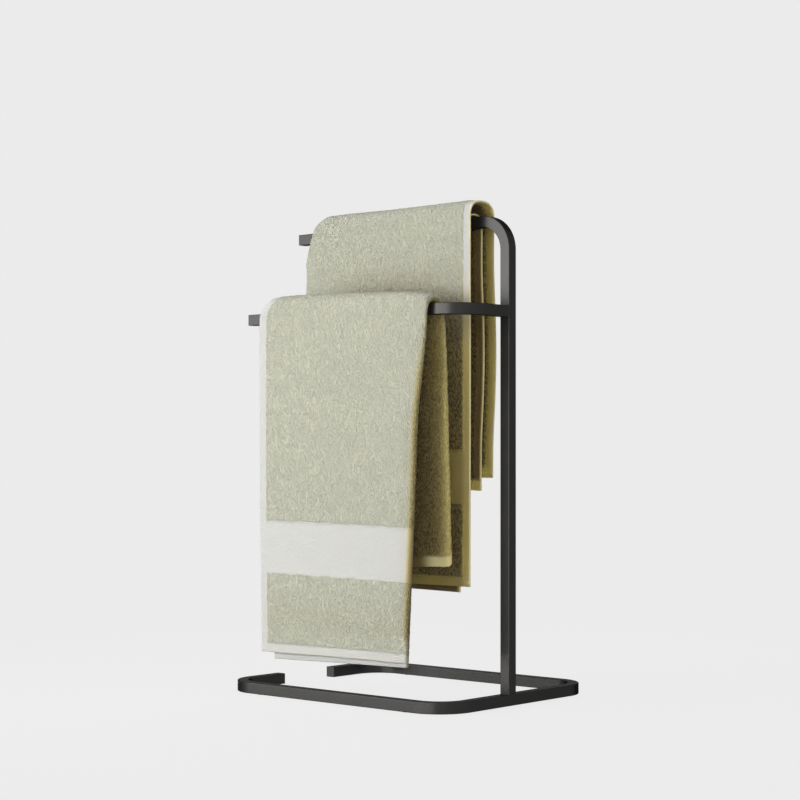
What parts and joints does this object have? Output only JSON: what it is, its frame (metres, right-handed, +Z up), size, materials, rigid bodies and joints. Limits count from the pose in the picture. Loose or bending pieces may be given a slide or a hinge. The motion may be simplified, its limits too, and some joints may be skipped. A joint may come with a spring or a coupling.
{
  "type": "countertop towel stand",
  "caption": "Free-standing countertop towel stand of bent square bar: open rectangular base, side post, an upper and a lower arm, with a folded terry hand towel hung over each arm.",
  "frame": {"origin": "on the counter, under the middle of the base's outline", "axes": "+Z up, +X along the arms towards the post, -Y towards the user, where the lower arm is"},
  "size_m": [0.27, 0.215, 0.4458],
  "materials": {
    "black_coat": "satin",
    "screw_steel": "satin",
    "pin_steel": "satin",
    "pad_rubber": "matte",
    "terry_cloth": "matte"
  },
  "bodies": {
    "stand": {"base_frame": "black_coat", "upright_post": "black_coat", "lower_arm": "black_coat", "base_screw": "screw_steel", "base_pin": "pin_steel", "foot_pad_front_left": "pad_rubber", "foot_pad_front_right": "pad_rubber", "foot_pad_rear_left": "pad_rubber", "foot_pad_rear_right": "pad_rubber"},
    "front_towel": {"front_towel": "terry_cloth"},
    "rear_towel": {"rear_towel": "terry_cloth"}
  },
  "joints": [
    {"name": "front_towel_slide", "type": "slide", "parent": "stand", "child": "front_towel", "axis": [-1, 0, 0], "range_m": [0, 0.24]},
    {"name": "rear_towel_slide", "type": "slide", "parent": "stand", "child": "rear_towel", "axis": [-1, 0, 0], "range_m": [0, 0.24]}
  ]
}
